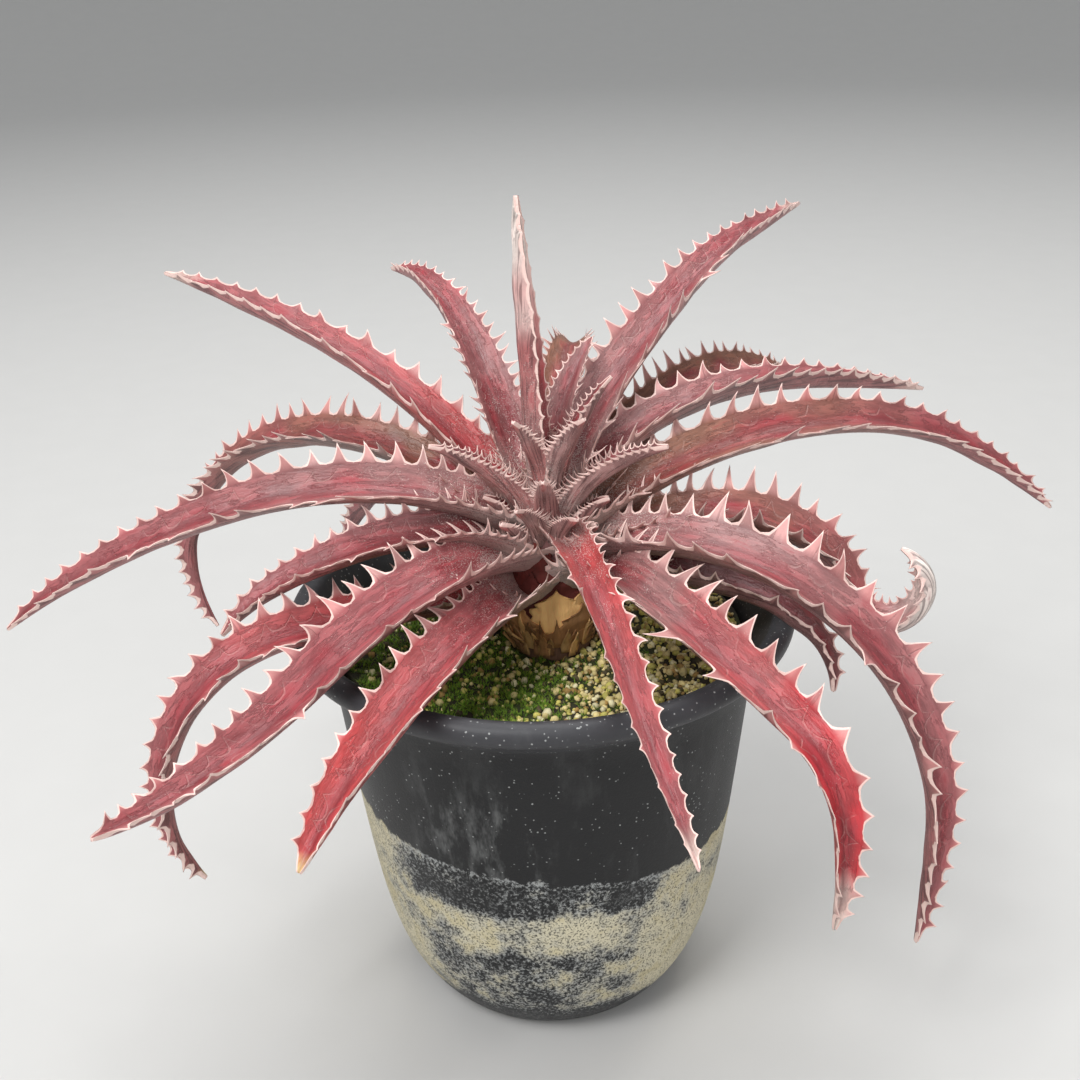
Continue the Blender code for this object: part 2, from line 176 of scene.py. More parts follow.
# Old sheaths: tints from the lowest up, with the number of the first scale of each, and their spiral
DARK, PAPERY, RUDDY = (0.50, 0.25, 0.10), (0.95, 0.57, 0.23), (0.15, 0.024, 0.018)
FIRST_PAPERY, FIRST_RUDDY, SCALE_COUNT, FIBRE_COUNT = 6, 11, 26, 90
LOWEST_SCALE, SCALE_STEP = 82.5, 0.72
GOLDEN_ANGLE = 2.39996

# Studio lights: name, the power that each takes and its share of it, size and place; then what they face
LIGHTS = (
    ("key_light", "key", 1.0, 0.45, (-0.45, -0.55, 1.05)),
    ("fill_light", "fill", 1.0, 1.2, (0.7, -1.3, 0.6)),
    ("low_light", "fill", 0.5, 1.0, (-0.9, -1.2, 0.5)),
    ("top_light", "top", 1.0, 0.8, (0.1, 0.35, 1.1)),
)
LIT_POINT = (0, 0, 0.09)
AIR_TINT = (0.93, 0.96, 1.0, 1.0)
# The floor's flat rings, then the radius, the end in degrees and the sides of the upward bend round them
FLOOR_RINGS = (0.02, 0.3, 0.8, 1.5)
FLOOR_BEND, FLOOR_BEND_END, FLOOR_SIDES = 1.2, 80, 96
FLOOR_DROP = -0.2 * MM

# Camera as fitted to the photograph: place, pitch and roll in degrees, focal length in picture widths
CAMERA_PLACE = (0.0002, -0.2596, 0.2267)
CAMERA_PITCH = -25.24
CAMERA_ROLL = -1.94
FOCAL_WIDTHS = 1400 / 1080
SENSOR_WIDTH = 36.0

# Random values of the lattice: how many there are, a power of two, and the factors that scatter them
LATTICE_SIZE = 4096
SCATTER = np.array((73856093, 19349663, 83492791))


def colour(name, default, words):
    return FloatVectorProperty(
        name=name, description=words, default=default, subtype="COLOR", size=3, min=0.0, max=1.0
    )


def length(name, default, words):
    return FloatProperty(
        name=name, description=words, default=default, subtype="DISTANCE", unit="LENGTH", precision=4
    )


def power(name, default, words):
    return FloatProperty(name=name, description=words, default=default, unit="POWER")


class DyckiaLeafLook(bpy.types.PropertyGroup):
    """Sizes and colours that all the leaves share."""

    thickness: length("Thickness", 2.6 * MM, "Thickness of a blade along its middle")
    edge: length("Margin thickness", 0.75 * MM, "Thickness of the blade at its margins")
    base_width: length("Base width", 11.5 * MM, "Width of a leaf where it leaves the stem")
    widen_over: length("Widening run", 22 * MM, "Run from the stem over which a leaf reaches its full width")
    channel: FloatProperty(
        name="Channel", description="Rise of the margins per width", default=0.29, subtype="FACTOR"
    )
    tooth_lift: FloatProperty(
        name="Tooth lift", description="Upward turn of the teeth", default=math.radians(48), subtype="ANGLE"
    )
    rim: colour("Rim", (0.860, 0.620, 0.560), "Pale horny rim of the margins and teeth")
    scurf: colour("Scurf", (0.560, 0.470, 0.430), "Grey-white scales on the blades")
    groove: colour("Groove", (0.055, 0.018, 0.020), "Dark lines along the underside")
    underside: colour("Underside", (0.500, 0.340, 0.315), "Grey skin of the underside")
    # Painted shade: dark red laid along the bottom of each blade's channel, where shade falls
    channel_shade: colour("Trough", (0.150, 0.016, 0.022), "Dark red along the bottom of a blade's channel")
    channel_red: colour("Channel red", (0.300, 0.032, 0.042), "Red along the middle of a blade")


class DyckiaPotLook(bpy.types.PropertyGroup):
    """Colours and levels of the pot's weathered plastic."""

    plastic: colour("Plastic", (0.009, 0.009, 0.010), "Matte black plastic")
    crust: colour("Crust", (0.600, 0.550, 0.400), "Dried mineral and algae crust")
    old_crust: colour("Old crust", (0.480, 0.410, 0.230), "Yellowed patches of the crust")
    dust: colour("Dust", (0.340, 0.350, 0.345), "Pale specks and smears of dust")
    water_level: length("Water mark", 49.3 * MM, "Height of the crust's upper edge")
    rim_diameter: length("Rim diameter", 105 * MM, "Diameter over the rolled rim")


class DyckiaSoilLook(bpy.types.PropertyGroup):
    """Amounts and colours of what lies in the pot."""

    earth: colour("Earth", (0.030, 0.024, 0.014), "Wet potting mix")
    moss: colour("Moss", (0.100, 0.170, 0.012), "Moss on the soil")
    stone: colour("Stone", (0.750, 0.620, 0.280), "Pale grit")
    bark: colour("Bark", (0.200, 0.105, 0.060), "Dead leaf bases on the stem")
    stones: IntProperty(name="Stones", description="Number of larger stones", default=1900, min=0)
    crumbs: IntProperty(name="Crumbs", description="Number of small crumbs", default=4200, min=0)
    sprigs: IntProperty(name="Sprigs", description="Number of moss sprigs", default=2300, min=0)


class DyckiaStageLook(bpy.types.PropertyGroup):
    """Floor and light of the studio."""

    floor: colour("Floor", (0.560, 0.555, 0.540), "Pale floor")
    key: power("Key light", 10.0, "Power of the main soft light")
    fill: power("Fill light", 6.5, "Power of the soft light in front")
    top: power("Top light", 9.0, "Power of the light overhead")
    air: FloatProperty(name="Surroundings", description="Strength of the even light", default=0.38)


class Value:
    """A shader value; arithmetic on it adds Math nodes."""

    def __init__(self, shading, socket):
        self.shading, self.socket = shading, socket

    def __add__(self, other):
        return self.shading.math("ADD", self, other)

    def __sub__(self, other):
        return self.shading.math("SUBTRACT", self, other)

    def __rsub__(self, other):
        return self.shading.math("SUBTRACT", other, self)

    def __mul__(self, other):
        return self.shading.math("MULTIPLY", self, other)

    __radd__, __rmul__ = __add__, __mul__


class Shading:
    """One material's node tree, with one method that makes any node."""

    def __init__(self, name):
        self.material = bpy.data.materials.new(name)
        self.material.use_nodes = True
        self.tree = self.material.node_tree
        self.tree.nodes.clear()

    def node(self, kind, settings, sockets, output=0):
        """A new node's output, or the node itself where output is None."""
        made = self.tree.nodes.new(kind)
        for key, setting in settings.items():
            setattr(made, key, setting)
        for key, source in sockets.items():
            if isinstance(source, Value):
                self.tree.links.new(source.socket, made.inputs[key])
            else:
                made.inputs[key].default_value = source
        return made if output is None else Value(self, made.outputs[output])

    def math(self, operation, *terms):
        return self.node("ShaderNodeMath", {"operation": operation}, dict(enumerate(terms)))

    def step(self, value, low, high):
        """0 below low, 1 above high and a smooth rise between."""
        settings = {"interpolation_type": "SMOOTHSTEP"}
        return self.node("ShaderNodeMapRange", settings, {0: value, 1: low, 2: high})

    def mix(self, share, first, second):
        """The first colour where share is 0, the second where it is 1."""
        ends = {6: opaque(first), 7: opaque(second)}
        return self.node("ShaderNodeMix", {"data_type": "RGBA"}, {0: share, **ends}, 2)

    def brighten(self, tint, amount):
        """A colour times a value, all three channels alike."""
        return self.node("ShaderNodeVectorMath", {"operation": "SCALE"}, {0: tint, 3: amount})

    def stretched(self, vector, scales):
        return self.node("ShaderNodeVectorMath", {"operation": "MULTIPLY"}, {0: vector, 1: scales})

    def place(self):
        return self.node("ShaderNodeTexCoord", {}, {}, "Object")

    def noise(self, vector, scale, detail=3.0, roughness=0.55):
        sockets = {"Vector": vector, "Scale": scale, "Detail": detail, "Roughness": roughness}
        return self.node("ShaderNodeTexNoise", {}, sockets, 0)

    def cells(self, vector, scale):
        """Distance to the nearest of scattered points, in cells."""
        return self.node("ShaderNodeTexVoronoi", {}, {"Vector": vector, "Scale": scale}, "Distance")

    def attribute(self, name, output):
        return self.node("ShaderNodeAttribute", {"attribute_name": name}, {}, output)

    def bump(self, height, depth, strength):
        """A normal bent by a height of 0 to 1 that stands for depth metres."""
        return self.node("ShaderNodeBump", {}, {"Height": height, "Distance": depth, "Strength": strength})

    def finish(self, **sockets):
        """Closes the tree with a Principled shader; keywords name its sockets with _ for a space."""
        named = {key.replace("_", " "): source for key, source in sockets.items()}
        shader = self.node("ShaderNodeBsdfPrincipled", {}, named)
        self.node("ShaderNodeOutputMaterial", {}, {"Surface": shader}, None)
        return self.material


def opaque(tint):
    """A colour with alpha 1; a Value stays as it is."""
    return tint if isinstance(tint, Value) else (*tint, 1.0)


def lattice(points, cell, seed):
    """Smooth random values from -1 to 1 at points: a random value on each corner of a cubic lattice, blended
    with the smoothstep of the place within the cell."""
    table = np.random.default_rng(seed).uniform(-1, 1, LATTICE_SIZE)
    scaled = np.asarray(points) / cell
    low = np.floor(scaled).astype(np.int64)
    part = scaled - low
    part = part * part * (3 - 2 * part)
    total = 0.0
    for corner in range(8):
        step = np.array([corner & 1, corner >> 1 & 1, corner >> 2 & 1])
        at = low + step
        key = np.bitwise_xor.reduce(at * SCATTER, axis=-1) & (LATTICE_SIZE - 1)
        weight = np.where(step, part, 1 - part).prod(axis=-1)
        total = total + table[key] * weight
    return total


def tube_faces(rings, columns):
    """Quads between each ring of points and the next, each ring closed on itself."""
    ring, column = np.meshgrid(np.arange(rings - 1), np.arange(columns), indexing="ij")
    a = ring * columns + column
    b = ring * columns + (column + 1) % columns
    return np.stack((a, b, b + columns, a + columns), axis=-1).reshape(-1, 4)


def capped_tube(points):
    """Vertices, quads and cap triangles of a grid of rings, facing outwards, with a point amid each end."""
    rings, columns = points.shape[:2]
    middle = np.stack((points[0].mean(axis=0), points[-1].mean(axis=0)))
    column = np.arange(columns)
    after = (column + 1) % columns
    last = (rings - 1) * columns
    near = np.stack((after, column, np.full(columns, rings * columns)), axis=1)
    far = np.stack((last + column, last + after, np.full(columns, rings * columns + 1)), axis=1)
    vertices = np.vstack((points.reshape(-1, 3), middle))
    return vertices, *outward(vertices, tube_faces(rings, columns), np.vstack((near, far)))


def outward(vertices, quads, triangles):
    """The faces turned round if the volume that they close is negative."""
    cut = np.vstack((quads[:, :3], quads[:, [0, 2, 3]], triangles))
    corners = vertices[cut]
    volume = np.einsum("ij,ij->i", corners[:, 0], np.cross(corners[:, 1], corners[:, 2])).sum()
    return (quads, triangles) if volume > 0 else (quads[:, ::-1], triangles[:, ::-1])


def add_piece(name, vertices, quads, triangles, material, attributes=None, uv=None):
    """A smooth mesh object from whole arrays, with its colour attributes and UV map."""
    quads = np.asarray(quads, np.int32).reshape(-1, 4)
    triangles = np.asarray(triangles, np.int32).reshape(-1, 3)
    mesh = bpy.data.meshes.new(name)
    loops = np.hstack((quads.ravel(), triangles.ravel()))
    sizes = np.repeat((4, 3), (len(quads), len(triangles)))
    mesh.vertices.add(len(vertices))
    mesh.vertices.foreach_set("co", np.asarray(vertices, np.float32).ravel())
    mesh.loops.add(len(loops))
    mesh.loops.foreach_set("vertex_index", loops)
    mesh.polygons.add(len(sizes))
    mesh.polygons.foreach_set("loop_start", np.cumsum(sizes) - sizes)
    mesh.polygons.foreach_set("loop_total", sizes)
    mesh.update(calc_edges=True)
    for key, values in (attributes or {}).items():
        layer = mesh.attributes.new(key, "FLOAT_COLOR", "POINT")
        layer.data.foreach_set("color", np.asarray(values, np.float32).ravel())
    if uv is not None:
        layer = mesh.uv_layers.new(name="surface")
        layer.data.foreach_set("uv", np.asarray(uv, np.float32)[loops].ravel())
    mesh.polygons.foreach_set("use_smooth", np.full(len(sizes), True))
    mesh.materials.append(material)
    piece = bpy.data.objects.new(name, mesh)
    bpy.context.scene.collection.objects.link(piece)
    return piece


def stem_radius(height):
    """The stem's radius, straight between the listed heights."""
    return np.interp(height / MM, STEM_HEIGHTS, STEM_RADII) * MM


def wall_radius(height):
    """The pot's outer radius: a shoulder that closes exponentially above the base, and an even taper."""
    rise = np.clip(np.asarray(height) / FLARE_BOTTOM, 0, 1)
    taper = (WALL_TOP_RADIUS - BASE_RADIUS - SHOULDER) * rise
    return BASE_RADIUS + SHOULDER * (1 - np.exp(-rise / SHOULDER_RUN)) + taper


def leaf_axes(azimuth, seat, reach, sweep, roll, slopes, along):
    """Place, tangent, upper side and left side along a leaf. The slope runs through its values at even steps,
    the bearing turns with the square of the distance, the place is their running sum, and the roll turns the
    sides about the tangent over the first third."""
    steps = np.linspace(0, 1, AXIS_STEPS)
    slope = np.radians(np.interp(steps, np.linspace(0, 1, len(slopes)), slopes))
    bearing = np.radians(azimuth + sweep * steps**2)
    level = np.stack((np.cos(bearing), np.sin(bearing), np.zeros(len(steps))), axis=1)
    tangent = level * np.cos(slope)[:, None] + np.outer(np.sin(slope), (0, 0, 1))
    normal = np.outer(np.cos(slope), (0, 0, 1)) - level * np.sin(slope)[:, None]
    flat = np.stack((-np.sin(bearing), np.cos(bearing), np.zeros(len(steps))), axis=1)
    turn = np.radians(roll) * np.clip(steps / ROLL_RUN, 0, 1)[:, None]
    left = flat * np.cos(turn) + normal * np.sin(turn)
    upper = normal * np.cos(turn) - flat * np.sin(turn)
    moves = (tangent[1:] + tangent[:-1]) / 2 * reach / (len(steps) - 1)
    path = np.vstack((np.zeros(3), np.cumsum(moves, axis=0))) + seat
    share = along / reach
    found = [
        np.stack([np.interp(share, steps, axis[:, k]) for k in range(3)], axis=-1)
        for axis in (path, tangent, upper, left)
    ]
    found[0] = found[0] + found[1] * np.minimum(along, 0)[..., None]
    return found


def tooth_grid(reach, pitch, draws):
    """Stations along the leaf, the tooth and phase of each, -0.5 to 0.5, and the number of teeth. The teeth
    are closer at both ends: the edges between them cut the running sum of 1 / pitch into even, slightly
    jittered steps."""
    at_base, tip_loss, jitter = 0.36, 0.28, 0.12
    fine = np.linspace(2.0 * MM, reach - ROWS_TO_TIP[0] * MM, 400)
    opening = np.clip((fine - 4 * MM) / (28 * MM), 0, 1)
    local = pitch * (at_base + (1 - at_base) * opening) * (1 - tip_loss * (fine / reach) ** 3)
    total = np.append(0, np.cumsum(np.diff(fine) / local[1:]))
    count = max(3, round(total[-1]))
    shifts = np.hstack((0, draws.uniform(-jitter, jitter, count - 1), 0))
    edges = np.interp((np.arange(count + 1) + shifts) * total[-1] / count, total, fine)
    phases = np.array(TOOTH_PHASES)
    along = edges[:-1, None] + (phases + 0.5) * np.diff(edges)[:, None]
    before, after = np.array(ROWS_BEFORE) * MM, reach - np.array(ROWS_TO_TIP) * MM
    along = np.hstack((before, along.ravel(), after))
    tooth = np.pad(np.repeat(np.arange(count), len(phases)), (len(before), len(after)), "edge")
    phase = np.pad(np.tile(phases, count), (len(before), len(after)), constant_values=0.5)
    return along, tooth, phase, count


def blend(first, second, share):
    """The first where share is 0, the second where it is 1, and straight between."""
    return np.asarray(first) * (1 - share) + np.asarray(second) * share


def leaf_section():
    """One row round a leaf's section, left to right above and back below: the place across, 1 at the left
    margin and -1 at the right, the share of a tooth's height, and 1 below."""
    blade, spike = np.array(BLADE_SHARES), np.array(TOOTH_SHARES)
    bare, margin = np.zeros(len(blade)), np.ones(len(spike))
    across = np.hstack((margin, blade, 0, -blade[::-1], -margin))
    outby = np.hstack((spike, bare, 0, bare, spike[::-1]))
    under = np.repeat((0.0, 1.0), len(across))
    return np.append(across, across[::-1]), np.append(outby, outby[::-1]), under


def blade_form(share, ground, reach, width, fullness, look):
    """Half width, thickness, rise of the margins and margin thickness. The width eases from the base width to
    the leaf's own, times (1 - share^fullness)^0.8. Short or narrow leaves are thinner."""
    run = np.clip(ground / look.widen_over, 0, 1)
    run = run * run * (3 - 2 * run)
    taper = np.clip(1 - share**fullness, 0, 1) ** 0.8
    half = blend(min(look.base_width, width * 1.1), width, run) * taper / 2 + TIP_HALF_WIDTH * share
    stout = look.thickness * min(1.0, 0.3 + reach / LONG_LEAF)
    thick = np.minimum(stout * (0.7 + 0.3 * run), half * 0.9 + 0.4 * MM)
    rise = 2 * half * (look.channel + 0.12 * (1 - run))
    return half, thick, rise, np.minimum(min(look.edge, 0.065 * width), thick * 0.7)


def tooth_peak(phase):
    """Height of a tooth, 0 to 1: a low web over the whole pitch and a narrow claw on it."""
    reach = np.abs(phase)
    peak = 0.32 * np.clip(1 - reach / 0.5, 0, 1) ** 1.3 + 0.68 * np.clip(1 - reach / 0.26, 0, 1) ** 1.4
    return peak / peak.max()


def leaf_tint(row, look, share, ground, margin, under, wave, spread):
    """Colours laid over one another: base tint, far tint, red bands beside the middle, grey underside, dry
    tip, painted shade along the bottom of the channel, and teeth."""
    reach, (low, high, tip) = row[2] * MM, row[8:11]
    warm = np.clip((share - 0.2) / 0.5 + 0.25 * wave, 0, 1)[..., None]
    body = blend(TINTS[low], TINTS[high], warm)
    band = np.exp(-(((margin - 0.25 - 0.3 * wave) / 0.26) ** 2)) * (1 - under)
    body = blend(body, look.channel_red, (band * np.clip(0.5 + 0.9 * wave, 0, 1))[..., None])
    grey = under * (0.12 + 0.6 * np.exp(-ground / (20 * MM)))
    body = blend(body, look.underside, grey[..., None])
    dry_tint, dry_run = TIPS[tip]
    dry = np.clip((ground - reach) / (dry_run * MM) + 1.2 + 0.3 * wave, 0, 1)[..., None]
    body = blend(body, dry_tint, dry)
    # Painted shade: the bottom of the channel is darkened where shade falls in it
    channel_shade = np.exp(-((margin / 0.42) ** 2)) * (1 - under)
    body = blend(body, look.channel_shade, (0.55 * channel_shade)[..., None])
    ashen = np.exp(-ground / (35 * MM))[..., None]
    rosy = (np.clip(spread / (1.4 * MM), 0, 1) * 0.8)[..., None]
    return blend(body, blend(ROSY_TOOTH, ASHEN_TOOTH, ashen), rosy)


def leaf_surface(row, look, seed):
    """A leaf as a closed grid: a channel above that rises with the 1.6th power of the place across, a rounded
    keel below and flat teeth at the margins, leaning along the leaf with the square of their height. Gives
    points, colours, marks and places on the blade; the marks are rim, underside, scurf and print of teeth."""
    azimuth, seat_height, reach, width, sweep, roll, fullness, slopes = row[:8]
    pitch, tooth_size, lean = row[11:]
    draws = np.random.default_rng(seed)
    reach, width, seat_height, tooth_size = reach * MM, width * MM, seat_height * MM, tooth_size * MM
    out = float(stem_radius(seat_height)) if seat_height <= STEM_TOP else CROWN_RADIUS
    turn = math.radians(azimuth)
    seat = np.array((STEM_X + out * math.cos(turn), out * math.sin(turn), seat_height))
    station, tooth, phase, count = tooth_grid(reach, pitch * MM, draws)
    across, outby, under = leaf_section()
    # The rows lie askew, so that the left and right teeth don't stand in pairs
    skew = draws.uniform(-0.3, 0.3) * pitch * MM
    ends = np.clip(station / (12 * MM), 0, 1) * np.clip((reach - station) / (8 * MM), 0, 1)
    along = station[:, None] + ends[:, None] * skew * across
    ground = np.maximum(along, 0)
    share = ground / reach
    half, thick, rise, edge = blade_form(share, ground, reach, width, fullness, look)
    margin = np.abs(across)
    top = rise * margin**1.6
    keel = edge + (thick - edge) * np.clip(1 - margin**2.4, 0, 1) ** 0.8

    side = (across < 0).astype(int)
    size = tooth_size * draws.uniform(0.8, 1.15, (count, 2))
    grow = 0.8 + 0.2 * np.clip((station - 6 * MM) / (24 * MM), 0, 1)
    fade = np.clip(1.5 * (1 - station / reach), 0.35, 1)
    peak = tooth_peak(phase)[:, None]
    full = (size[tooth] * (grow * fade)[:, None])[:, side]
    stand = full * peak + BARE_MARGIN * (1 - 0.8 * share**4)
    lift = look.tooth_lift + draws.normal(0, math.radians(15), (count, 2))[tooth][:, side]
    leaning = (lean + draws.normal(0, 0.14, (count, 2)))[tooth][:, side] + 0.6 * np.exp(-ground / (14 * MM))
    spread = stand * outby
    forward = leaning * full * peak**2 * outby**2
    wall = edge * (0.25 + 0.75 * (1 - outby) ** 0.8)
    at = np.stack((along, np.broadcast_to(across * width * 0.5, along.shape), np.full(along.shape, seed)), -1)
    wave = lattice(at, WAVE_CELL, seed)
    inward = half * (1 - margin)
    # In the bud, teeth pressed their outline into the next leaf; narrow leaves show none
    imprint = inward / MM - 2.6 + 1.9 * peak + 0.5 * wave + NO_PRINT * (width < PRINTED_WIDTH)

    place, tangent, upper, left = leaf_axes(azimuth, seat, reach, sweep, roll, slopes, along)
    sideways = np.sign(across) * (half * margin + spread * np.cos(lift))
    dent = np.exp(-((imprint / 0.45) ** 2)) * (outby == 0) * (1 - under)
    height = top + spread * np.sin(lift) + (0.2 * MM * wave - 0.12 * MM * dent) * (1 - outby)
    height = height - np.where(outby > 0, wall, keel) * under
    points = place + left * sideways[..., None] + upper * height[..., None] + tangent * forward[..., None]

    body = leaf_tint(row, look, share, ground, margin, under, wave, spread)
    rim_gap = np.where(outby > 0, (1 - outby) * stand, inward + stand)
    horny = 0.3 * MM + (outby > 0) * (0.06 + 0.22 * np.exp(-ground / (30 * MM))) * tooth_size
    rim = np.exp(-((rim_gap / horny) ** 1.5))
    scurf = min(1.0, reach / LONG_LEAF) * np.exp(-ground / (14 * MM)) + 0.08 * under
    marks = np.stack([np.broadcast_to(v, rim.shape) for v in (rim, under, scurf, imprint)], axis=-1)
    surface = np.stack((across * half / (10 * MM) + seed, along / (10 * MM)), axis=-1)
    return points, with_alpha(body), marks, surface


def leaf_material(look):
    """Satin skin: the tint with painted shade, lighter on the ridges of the folds and darker in their creases,
    and mottled in tone; dark lines below, broken prints of teeth, scurf and rims.
    """
    s = Shading("leaf_skin")
    place = s.place()
    marks = s.node("ShaderNodeSeparateColor", {}, {0: s.attribute("marks", "Color")}, None)
    rim, under, scurf = (Value(s, marks.outputs[k]) for k in range(3))
    imprint = s.math("ABSOLUTE", s.attribute("marks", "Alpha"))
    surface = s.node("ShaderNodeUVMap", {"uv_map": "surface"}, {})
    lines = s.noise(s.stretched(surface, (34.0, 0.8, 1.0)), 1.0, 3.0, 0.55)
    folds = s.noise(s.stretched(surface, (8.0, 1.3, 1.0)), 1.0, 4.0, 0.6)
    mottle = s.noise(place, 210.0, 5.0, 0.62)
    specks = s.noise(place, 4200.0, 1.0, 0.5)
    worn = s.step(s.noise(place, 75.0, 3.0, 0.55), 0.46, 0.62)
    wrinkle = (1 - s.step(s.math("ABSOLUTE", folds - 0.5), 0.004, 0.026)) * s.step(mottle, 0.4, 0.55)
    print_line = (1 - s.step(imprint, 0.08, 0.3)) * (1 - worn) * s.step(mottle, 0.36, 0.52)
    # Painted shade with random tone: the tint is lighter on the ridges of the folds, darker in their creases,
    # and varies with the mottle
    light = 0.62 + 0.6 * s.step(folds, 0.3, 0.7) + 0.4 * (mottle - 0.2)
    skin = s.brighten(s.attribute("tint", "Color"), light)
    skin = s.mix(s.step(folds, 0.58, 0.7) * 0.5, skin, look.channel_red)
    skin = s.mix(under * s.step(lines, 0.48, 0.6) * 0.6, skin, look.groove)
    skin = s.mix(print_line * (1 - under) * 0.13, skin, look.rim)
    skin = s.mix(wrinkle * 0.3, skin, look.groove)
    dusting = s.step(specks * 0.7 + mottle * 0.3 + scurf * 0.3, 0.64, 0.76) * 0.7
    skin = s.mix(dusting, skin, look.scurf)
    pale = s.step(rim + 0.25 * (mottle - 0.5), 0.38, 0.66)
    skin = s.mix(pale, skin, look.rim)
    relief = folds * 0.7 + lines * (0.15 + 0.4 * under) - wrinkle * 0.15 + specks * 0.06
    return s.finish(
        Base_Color=skin,
        Roughness=0.3 + 0.35 * dusting + 0.25 * mottle,
        Normal=s.bump(relief - print_line * 0.2, 0.5 * MM, 0.9),
    )


def pot_material(look):
    """Dusty black plastic, with a crust below a wavy water mark that stands higher on the left. The crust is
    thick at the sides, in a band and low down, and worn off in front and at the foot."""
    s = Shading("weathered_plastic")
    place = s.place()
    parts = s.node("ShaderNodeSeparateXYZ", {}, {0: place}, None)
    x, z = Value(s, parts.outputs[0]), Value(s, parts.outputs[2])
    broad = s.noise(place, 38.0, 5.0, 0.65)
    blotch = s.noise(place, 150.0, 4.0, 0.65)
    stipple = s.noise(place, 1500.0, 4.0, 0.75)
    pits = s.step(s.noise(place, 2300.0, 2.0, 0.6), 0.36, 0.46)
    tilt, broad_wave, small_wave = 0.105, 8 * MM, 4 * MM
    level = look.water_level - tilt * x + broad_wave * (broad - 0.5) + small_wave * (blotch - 0.5)
    depth = level - z
    below = s.step(depth + 2.5 * MM * (stipple - 0.5), 0.0, 0.8 * MM)
    side = s.step(s.math("ABSOLUTE", x + 4 * MM), 16 * MM, 34 * MM)
    band = s.step(z, 24 * MM, 31 * MM) * (1 - s.step(z, 37 * MM, 42 * MM))
    low = 1 - s.step(z, 22 * MM, 30 * MM)
    foot = 1 - s.step(z, 3 * MM, 11 * MM)
    cover = 0.3 + 0.56 * side + 0.42 * band * (1 - side) + 0.24 * low - 0.5 * foot
    cover = cover + (1.3 - 0.6 * low) * (broad - 0.5) + 0.8 * (blotch - 0.5)
    line = s.step(depth, 0.0, 0.5 * MM) * (1 - s.step(depth, 0.8 * MM, 2.6 * MM)) * 0.2
    thick = s.step(cover, 0.4, 0.85)
    crust = below * s.step(stipple + 0.62 * (cover + line - 0.5), 0.44, 0.58) * (0.25 + 0.75 * pits)
    veil = below * s.step(stipple, 0.48, 0.62) * 0.3
    near_rim = s.step(z, 80 * MM, 86 * MM)
    motes = 1 - s.step(s.cells(place, 850.0) + 0.5 * stipple, 0.33, 0.43)
    motes = motes * s.step(blotch + 0.14 * near_rim, 0.48, 0.53)
    left = s.step(x, -28 * MM, -20 * MM) * (1 - s.step(x, -8 * MM, 2 * MM))
    smear = s.step(s.noise(s.stretched(place, (110.0, 110.0, 40.0)), 1.0, 5.0, 0.7), 0.5, 0.68)
    haze = smear * (0.05 + 0.3 * left * (1 - s.step(z, 62 * MM, 76 * MM)))
    dust = s.math("MAXIMUM", motes * 0.9, haze)
    # The plastic is lighter on the rim's top, a painted highlight together with dust greying; elsewhere its
    # tone varies with the stipple
    plastic = s.brighten(look.plastic, 0.7 + 0.6 * stipple + 3.5 * near_rim)
    skin = s.mix(s.math("MAXIMUM", dust * (1 - below), veil), plastic, look.dust)
    skin = s.mix(crust, skin, s.mix(thick, look.dust, look.crust))
    skin = s.mix(crust * thick * s.step(blotch, 0.5, 0.62) * 0.5, skin, look.old_crust)
    return s.finish(
        Base_Color=skin,
        Specular_IOR_Level=0.35,
        Roughness=0.42 + 0.45 * crust + 0.15 * dust + 0.1 * stipple,
        Normal=s.bump(crust * (0.3 + 0.5 * thick) + stipple * 0.2, 0.4 * MM, 0.8),
    )


def soil_material(look):
    """Lumpy dark mix, greener in damp patches."""
    s = Shading("potting_mix")
    place = s.place()
    lumps = s.noise(place, 420.0, 5.0, 0.65)
    damp = s.noise(place, 70.0, 3.0, 0.5)
    mossy = s.step(damp, 0.45, 0.6) * 0.5
    earth = s.brighten(look.earth, 0.4 + 1.4 * lumps)
    return s.finish(
        Base_Color=s.mix(mossy, earth, [c * 0.4 for c in look.moss]),
        Roughness=0.75 + 0.2 * lumps,
        Normal=s.bump(lumps, 1.2 * MM, 1.0),
    )


def tinted_material(name, scale, roughness, depth):
    """Loose stuff that takes its colour from the tint of each bit, with grain of the given scale."""
    s = Shading(name)
    grain = s.noise(s.place(), scale, 4.0, 0.6)
    return s.finish(
        Base_Color=s.brighten(s.attribute("tint", "Color"), 0.55 + 0.9 * grain),
        Roughness=roughness + 0.15 * grain,
        Normal=s.bump(grain, depth, 0.8),
    )


def bark_material():
    """Fibrous sheath skin that takes its colour from its tint, with dark blots."""
    s = Shading("old_sheath")
    place = s.place()
    fibres = s.noise(s.stretched(place, (420.0, 420.0, 60.0)), 1.0, 5.0, 0.65)
    blots = s.noise(place, 190.0, 3.0, 0.6)
    tint = s.brighten(s.attribute("tint", "Color"), 0.45 + 1.1 * fibres)
    return s.finish(
        Base_Color=s.mix(s.step(blots, 0.58, 0.75) * 0.6, tint, (0.05, 0.025, 0.015)),
        Roughness=0.62 + 0.25 * fibres,
        Normal=s.bump(fibres + 0.5 * blots, 0.5 * MM, 1.0),
    )


def floor_material(look):
    """Matt floor, all but even."""
    s = Shading("studio_floor")
    fine = s.noise(s.place(), 60.0, 3.0, 0.5)
    return s.finish(Base_Color=s.brighten(look.floor, 0.98 + 0.04 * fine), Roughness=0.8)


def turned(profile, sides, centre=(0.0, 0.0)):
    """Rings of points: each (radius, height) of the profile turned round an upright axis."""
    angle = np.linspace(0, 2 * math.pi, sides, endpoint=False)
    profile = np.asarray(profile)
    x = centre[0] + profile[:, :1] * np.cos(angle)
    y = centre[1] + profile[:, :1] * np.sin(angle)
    return np.stack((x, y, np.broadcast_to(profile[:, 1:2], x.shape)), axis=-1)


